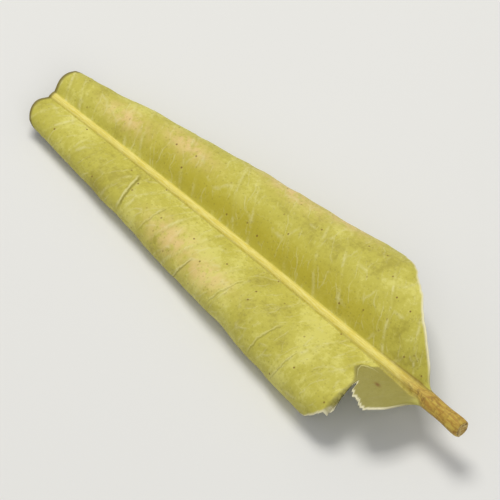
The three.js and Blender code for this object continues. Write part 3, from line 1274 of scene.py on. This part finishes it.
UNDERSIDE = BladeFinish(
    name="blade_underside",
    dark="#aca23c",
    middle="#c2ba4c",
    pale="#d5ce69",
    vein="#e4dea0",
    net="#e4dea4",
    gland="#8d8234",
    crest="#e8c78a",
    valley="#b9ac2a",
    rim="#f2ebc6",
    flap="#8b8342",
    rib="#dfcd58",
    rib_pale="#eadd80",
    stalk="#ae8434",
    stalk_brown="#744a1a",
    shade="#857a2c",
    end_line="#6f6230",
    roughness=0.66,
    net_strength=0.3,
    crest_strength=0.8,
    bump=0.6,
)
UPPER_SIDE = BladeFinish(
    name="blade_upper_side",
    dark="#8a8a38",
    middle="#a1a046",
    pale="#b2ae56",
    vein="#b9b76c",
    net="#aeab62",
    gland="#74742f",
    crest="#b3ac66",
    valley="#96933a",
    rim="#d6cf9a",
    flap="#8f8c48",
    rib="#bdb368",
    rib_pale="#cdc47e",
    stalk="#ae8a40",
    stalk_brown="#7a5424",
    shade="#75742c",
    end_line="#75693a",
    roughness=0.48,
    net_strength=0.3,
    crest_strength=0.3,
    bump=0.4,
)


@dataclass
class LeafFinishes:
    """Builds the leaf's materials from the shared effect groups."""

    net: bpy.types.NodeTree
    glands: bpy.types.NodeTree
    mottle: bpy.types.NodeTree
    crease: bpy.types.NodeTree

    def place(self, s: NodeSketch) -> bpy.types.NodeSocket:
        """Give the place on the flattened leaf, in millimetres.

        Args:
            s: The sketch of the material to add nodes to.

        Returns:
            The place as a vector.
        """
        flat = s.add("ShaderNodeUVMap", {"uv_map": "Flattened"}).outputs[0]
        inputs = {
            "Vector": flat,
            "Location": (-FLAT_START[0] * FLAT_SPAN, -FLAT_START[1] * FLAT_SPAN, 0.0),
            "Scale": (FLAT_SPAN, FLAT_SPAN, FLAT_SPAN),
        }
        return s.add("ShaderNodeMapping", None, inputs).outputs[0]

    def blade(self, finish: BladeFinish) -> bpy.types.Material:
        """Make one face's material.

        Colour goes from mottled blade, through valley (olive tone and painted shade), crest
        (bleached tone and painted highlight), net veins, side veins, glands and flap (duller
        tone and painted shade), to midrib, stalk and margin. Creases carry painted shade and
        highlight, the seam a painted shadow, the margin a painted highlight and the apex edge
        painted shade. Height adds the veins, glands and grain.

        Args:
            finish: Colours and strengths of the face.

        Returns:
            The material.
        """
        material = bpy.data.materials.new(finish.name)
        material.use_nodes = True
        s = NodeSketch(material.node_tree)
        place = self.place(s)
        colours = {
            "Place": place,
            "Dark": linear(finish.dark),
            "Middle": linear(finish.middle),
            "Pale": linear(finish.pale),
        }
        mottle = s.add("ShaderNodeGroup", {"node_tree": self.mottle}, colours)
        net = s.add(
            "ShaderNodeGroup",
            {"node_tree": self.net},
            {"Place": place, "Cells per mm": 0.62, "Line": 0.075, "Cover": 0.52},
        ).outputs["Mask"]
        fine_net = s.add(
            "ShaderNodeGroup",
            {"node_tree": self.net},
            {"Place": place, "Cells per mm": 1.7, "Line": 0.09, "Cover": 0.5, "Stretch": 0.6},
        ).outputs["Mask"]
        gland = s.add(
            "ShaderNodeGroup",
            {"node_tree": self.glands},
            {"Place": place, "Dots per mm": 2.1, "Radius": 0.26},
        ).outputs["Mask"]
        patch = s.ramp(s.noise(place, 0.9, 4.0, 0.65), 0.3, 0.6)
        patch = s.math("MULTIPLY", patch, finish.crest_strength)
        crest = s.math("MULTIPLY", s.mark("crest"), patch)
        speck = s.add(
            "ShaderNodeGroup",
            {"node_tree": self.glands},
            {"Place": place, "Dots per mm": 0.42, "Radius": 0.06},
        ).outputs["Mask"]
        # Valley: olive tone of the strip beside the midrib, darkened further as painted shade.
        valley = s.math("MULTIPLY", s.mark("valley"), 0.8)
        colour = s.blend(valley, mottle.outputs["Colour"], linear(finish.valley))
        # Crest: bleached tone plus painted highlight.
        colour = s.blend(crest, colour, linear(finish.crest))
        colour = s.blend(s.math("MULTIPLY", net, finish.net_strength), colour, linear(finish.net))
        fainter = s.math("MULTIPLY", fine_net, finish.net_strength * 0.5)
        colour = s.blend(fainter, colour, linear(finish.net))
        broken = s.ramp(s.noise(place, 0.7, 3.0, 0.65), 0.47, 0.62)
        broken = s.math("ADD", s.math("MULTIPLY", broken, 0.5), 0.08)
        vein = s.math("MULTIPLY", s.mark("vein"), broken)
        colour = s.blend(vein, colour, linear(finish.vein))
        # Groove: painted shade beside each side vein.
        colour = s.blend(s.math("MULTIPLY", s.mark("groove"), 0.34), colour, linear(finish.dark))
        colour = s.blend(s.math("MULTIPLY", gland, 0.26), colour, linear(finish.gland))
        colour = s.blend(s.math("MULTIPLY", speck, 0.8), colour, linear(finish.stalk_brown))
        # Flap: duller tone of the flap, darkened further as painted shade where it hangs down.
        colour = s.blend(s.math("MULTIPLY", s.mark("flap"), 0.85), colour, linear(finish.flap))
        shade, light = self.creases(s, place)
        # Creases: painted shade on one side of each fold, and a painted highlight in the vein
        # colour on the other.
        colour = s.blend(s.math("MULTIPLY", shade, 0.75), colour, linear(finish.shade))
        colour = s.blend(s.math("MULTIPLY", light, 0.6), colour, linear(finish.vein))
        spot = s.math("MULTIPLY", s.mark("spot"), 0.85)
        colour = s.blend(spot, colour, linear(finish.stalk_brown))
        colour = self.wood(s, place, colour, finish)
        # Seam: painted shadow, in brown, along the midrib's edge near the stub, strongest on the
        # high side.
        seam = s.math("MULTIPLY", s.mark("seam"), 0.6)
        colour = s.blend(seam, colour, linear(finish.stalk_brown))
        # Rim: painted highlight where the margin's edge catches the light.
        colour = s.blend(s.math("MULTIPLY", s.mark("rim"), 0.92), colour, linear(finish.rim))
        # End line: painted shade along the edge of the apex.
        end_line = s.math("MULTIPLY", s.mark("end_line"), 0.85)
        colour = s.blend(end_line, colour, linear(finish.end_line))
        height = self.height(s, place, net, fine_net, gland)
        height = s.math("ADD", height, s.math("MULTIPLY", s.math("SUBTRACT", light, shade), 0.9))
        relief = {"Height": height, "Strength": finish.bump, "Distance": 0.00008}
        bump = s.add("ShaderNodeBump", None, relief)
        grain = s.noise(place, 1.1, 2.0)
        rough = s.math("ADD", finish.roughness - 0.07, s.math("MULTIPLY", grain, 0.16))
        shader = s.add(
            "ShaderNodeBsdfPrincipled",
            None,
            {"Base Color": colour, "Roughness": rough, "Normal": bump.outputs[0]},
        )
        shader.inputs["Specular IOR Level"].default_value = 0.35
        shader.inputs["Sheen Weight"].default_value = 0.08
        shader.inputs["Sheen Roughness"].default_value = 0.5
        s.add("ShaderNodeOutputMaterial", None, {"Surface": shader.outputs[0]})
        return material

    def creases(
        self, s: NodeSketch, place: bpy.types.NodeSocket
    ) -> tuple[bpy.types.NodeSocket, bpy.types.NodeSocket]:
        """Join all the creases: the strongest shaded line and the strongest lit line.

        Args:
            s: The sketch of the material to add nodes to.
            place: Place on the flattened leaf in millimetres.

        Returns:
            The shaded lines and the lit lines, from 0 to 1.
        """
        shade, light = 0.0, 0.0
        for crease in CREASES:
            inputs = {
                "Place": place,
                "Start": crease.start,
                "End": crease.end,
                "Bow": crease.bow,
                "Breadth": crease.breadth,
            }
            lines = s.add("ShaderNodeGroup", {"node_tree": self.crease}, inputs).outputs
            own_shade = s.math("MULTIPLY", lines["Shade"], crease.strength)
            own_light = s.math("MULTIPLY", lines["Light"], crease.strength)
            shade = s.math("MAXIMUM", own_shade, shade)
            light = s.math("MAXIMUM", own_light, light)
        return shade, light

    def wood(
        self,
        s: NodeSketch,
        place: bpy.types.NodeSocket,
        colour: bpy.types.NodeSocket,
        finish: BladeFinish,
    ) -> bpy.types.NodeSocket:
        """Colour the midrib and the stalk over the blade's colour.

        Streaks run lengthways: noise on places squeezed eight times across. The stalk goes
        from yellow to ochre with brown blotches.

        Args:
            s: The material's sketch.
            place: Place on the flattened leaf in millimetres.
            colour: Colour of the blade.
            finish: The face's colours.

        Returns:
            The new colour.
        """
        squeeze = {"Vector": place, "Scale": (0.7, 6.0, 1.0)}
        squeezed = s.add("ShaderNodeMapping", None, squeeze).outputs[0]
        streak = s.ramp(s.noise(squeezed, 1.0, 3.0, 0.6), 0.35, 0.65)
        rib = s.blend(streak, linear(finish.rib), linear(finish.rib_pale))
        blotch = s.ramp(s.noise(place, 1.5, 4.0, 0.7), 0.48, 0.62)
        junction = s.math("MULTIPLY", s.mark("ochre"), s.math("SUBTRACT", 1.0, s.mark("stalk")))
        blotch = s.math("MULTIPLY", blotch, s.math("ADD", s.math("MULTIPLY", junction, 0.45), 0.4))
        stalk = s.blend(s.math("MULTIPLY", streak, 0.5), linear(finish.stalk), linear(finish.rib))
        stalk = s.blend(blotch, stalk, linear(finish.stalk_brown))
        rib = s.blend(s.mark("ochre"), rib, stalk)
        cover = s.math("MAXIMUM", s.mark("rib"), s.mark("stalk"))
        return s.blend(cover, colour, rib)

    def height(
        self,
        s: NodeSketch,
        place: bpy.types.NodeSocket,
        net: bpy.types.NodeSocket,
        fine: bpy.types.NodeSocket,
        gland: bpy.types.NodeSocket,
    ) -> bpy.types.NodeSocket:
        """Add up the fine relief: net veins up, glands down, leathery grain in between.

        Args:
            s: The sketch of the material to add nodes to.
            place: Place on the flattened leaf in millimetres.
            net: Mask of the coarse net veins.
            fine: Mask of the fine net veins.
            gland: Mask of the oil glands.

        Returns:
            The height for a Bump node.
        """
        grain = s.math("MULTIPLY", s.noise(place, 3.4, 4.0, 0.65), 0.5)
        crease = s.math("MULTIPLY", s.noise(place, 0.8, 3.0, 0.6), 0.9)
        total = s.math("ADD", grain, crease)
        total = s.math("ADD", total, s.math("MULTIPLY", net, 0.35))
        total = s.math("ADD", total, s.math("MULTIPLY", fine, 0.18))
        return s.math("SUBTRACT", total, s.math("MULTIPLY", gland, 0.3))

    def broken_end(self) -> bpy.types.Material:
        """Make the broken stalk end's material: pale fibres with darker brown stains.

        Returns:
            The material.
        """
        material = bpy.data.materials.new("broken_stalk_end")
        material.use_nodes = True
        s = NodeSketch(material.node_tree)
        object_place = s.add("ShaderNodeTexCoord").outputs["Object"]
        speck = s.ramp(s.noise(object_place, 4200.0, 3.0, 0.7), 0.4, 0.62)
        colour = s.blend(speck, linear("#b8974d"), linear("#dcc483"))
        stain = s.ramp(s.noise(object_place, 1500.0, 2.0), 0.52, 0.68)
        colour = s.blend(s.math("MULTIPLY", stain, 0.7), colour, linear("#7c5524"))
        relief = {"Height": speck, "Strength": 0.6, "Distance": 0.00008}
        bump = s.add("ShaderNodeBump", None, relief).outputs[0]
        shader = s.add("ShaderNodeBsdfPrincipled", None, {"Base Color": colour, "Normal": bump})
        shader.inputs["Roughness"].default_value = 0.85
        s.add("ShaderNodeOutputMaterial", None, {"Surface": shader.outputs[0]})
        return material


@dataclass(frozen=True)
class SoftBox:
    """One square studio light: where it stands, how wide it is and how bright."""

    name: str
    place: tuple[float, float, float]
    size: float
    watts: float
    tint: str


@dataclass
class Studio:
    """The pale floor, the soft lights and the camera."""

    azimuth: float = 46.4
    elevation: float = 50.0
    distance: float = 0.40
    lens: float = 289.0
    aim: tuple[float, float, float] = (-0.00015, -0.00025, 0.00375)
    floor_colour: str = "#e3e3e1"
    world_light: float = 0.36
    boxes: tuple[SoftBox, ...] = (
        SoftBox("key", (-0.16, 0.10, 0.46), 0.22, 1.6, "#fffdf8"),
        SoftBox("fill", (0.34, -0.22, 0.34), 0.40, 0.75, "#f6f8ff"),
    )

    def build_floor(self) -> None:
        """Lay a pale floor under the leaf, with the faintest mottling."""
        reach = 1.5
        corners = np.array([[-1, -1, 0], [1, -1, 0], [1, 1, 0], [-1, 1, 0]], dtype=float) * reach
        corners[:, 2] = CAD_BOX[0][2]
        mesh = make_mesh("floor", corners, np.array([[0, 1, 2, 3]]), np.zeros(1, dtype=np.int32))
        floor = bpy.data.objects.new("floor", mesh)
        bpy.context.scene.collection.objects.link(floor)
        material = bpy.data.materials.new("pale_floor")
        material.use_nodes = True
        s = NodeSketch(material.node_tree)
        spot = s.noise(s.add("ShaderNodeTexCoord").outputs["Object"], 9.0, 2.0)
        faint = s.math("MULTIPLY", spot, 0.12)
        colour = s.blend(faint, linear(self.floor_colour), linear("#cfccc4"))
        shader = s.add("ShaderNodeBsdfPrincipled", None, {"Base Color": colour})
        shader.inputs["Roughness"].default_value = 0.8
        s.add("ShaderNodeOutputMaterial", None, {"Surface": shader.outputs[0]})
        mesh.materials.append(material)

    def build_lights(self) -> None:
        """Hang the soft boxes, aimed at the leaf, and set an even pale surround."""
        for box in self.boxes:
            data = bpy.data.lights.new(box.name, "AREA")
            data.shape = "SQUARE"
            data.size = box.size
            data.energy = box.watts
            data.color = linear(box.tint)[:3]
            light = bpy.data.objects.new(box.name, data)
            light.location = box.place
            towards = Vector(self.aim) - Vector(box.place)
            light.rotation_euler = towards.to_track_quat("-Z", "Y").to_euler()
            bpy.context.scene.collection.objects.link(light)
        world = bpy.data.worlds.new("surround")
        world.use_nodes = True
        s = NodeSketch(world.node_tree)
        glow = s.add("ShaderNodeBackground")
        glow.inputs["Color"].default_value = linear("#f4f4f2")
        glow.inputs["Strength"].default_value = self.world_light
        s.add("ShaderNodeOutputWorld", None, {"Surface": glow.outputs[0]})
        bpy.context.scene.world = world

    def build_camera(self) -> None:
        """Stand the camera on a sphere round the leaf, looking at its middle."""
        turn, lift = math.radians(self.azimuth), math.radians(self.elevation)
        level = math.cos(lift)
        back = Vector((math.sin(turn) * level, -math.cos(turn) * level, math.sin(lift)))
        data = bpy.data.cameras.new("camera")
        data.lens = self.lens
        data.clip_start = 0.01
        camera = bpy.data.objects.new("camera", data)
        camera.location = Vector(self.aim) + back * self.distance
        camera.rotation_euler = (-back).to_track_quat("-Z", "Y").to_euler()
        bpy.context.scene.collection.objects.link(camera)
        bpy.context.scene.camera = camera
        bpy.context.scene.view_settings.view_transform = "Standard"


def main() -> None:
    """Build the studio and the leaf, dress the leaf and report each piece."""
    logging.basicConfig(level=logging.INFO, format="%(name)s: %(message)s")
    studio = Studio()
    studio.build_camera()
    studio.build_lights()
    studio.build_floor()
    log.info("studio: camera, %d lights and floor", len(studio.boxes))
    leaf = DriedLeaf().build()
    finishes = LeafFinishes(
        net_veins_group(), oil_glands_group(), dry_mottle_group(), dry_crease_group()
    )
    for material in (finishes.blade(UNDERSIDE), finishes.blade(UPPER_SIDE), finishes.broken_end()):
        leaf.data.materials.append(material)
    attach(leaf, "root")
    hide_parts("leaf")
    log.info("dried leaf: %d points, %d faces", len(leaf.data.vertices), len(leaf.data.polygons))


if __name__ == "__main__":
    main()
